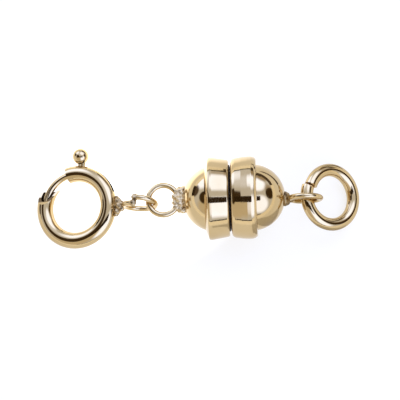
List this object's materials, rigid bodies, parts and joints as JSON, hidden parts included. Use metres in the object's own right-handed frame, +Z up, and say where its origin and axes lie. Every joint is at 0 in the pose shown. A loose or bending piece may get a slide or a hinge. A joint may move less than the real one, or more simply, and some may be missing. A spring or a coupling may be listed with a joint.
{
  "type": "magnetic barrel clasp with spring ring",
  "caption": "Gold-coloured magnetic barrel clasp for a necklace, with a spring ring on a tag loop at one end and a thick jump ring at the other.",
  "frame": {"origin": "on the surface that the clasp lies on, under the middle of its overall box", "axes": "+X along the barrel from the spring ring to the jump ring, +Y across it towards the trigger's ball, +Z up from the surface"},
  "size_m": [0.027, 0.0084, 0.0069],
  "materials": {
    "gold": "polished pale yellow gold, satin where it is soldered",
    "magnet": "dark nickel plated disc magnet"
  },
  "bodies": {
    "left_half": {"spring_ring": "gold", "left_cup": "gold", "left_magnet": "magnet"},
    "right_half": {"right_cup": "gold", "right_magnet": "magnet", "jump_ring": "gold"},
    "trigger": {"trigger_bolt": "gold"}
  },
  "joints": [
    {"name": "pull_apart", "type": "slide", "parent": "left_half", "child": "right_half", "axis": [1, 0, 0], "range_m": [0, 0.008]},
    {"name": "trigger_swing", "type": "hinge", "parent": "left_half", "child": "trigger", "pos_m": [-0.01013, -0.00073, 0.00157], "axis": [0.3121, -0.0191, -0.9499], "range_deg": [0, 57], "stiffness_Nm_per_rad": 0.0000004, "springref_deg": -68.75}
  ]
}
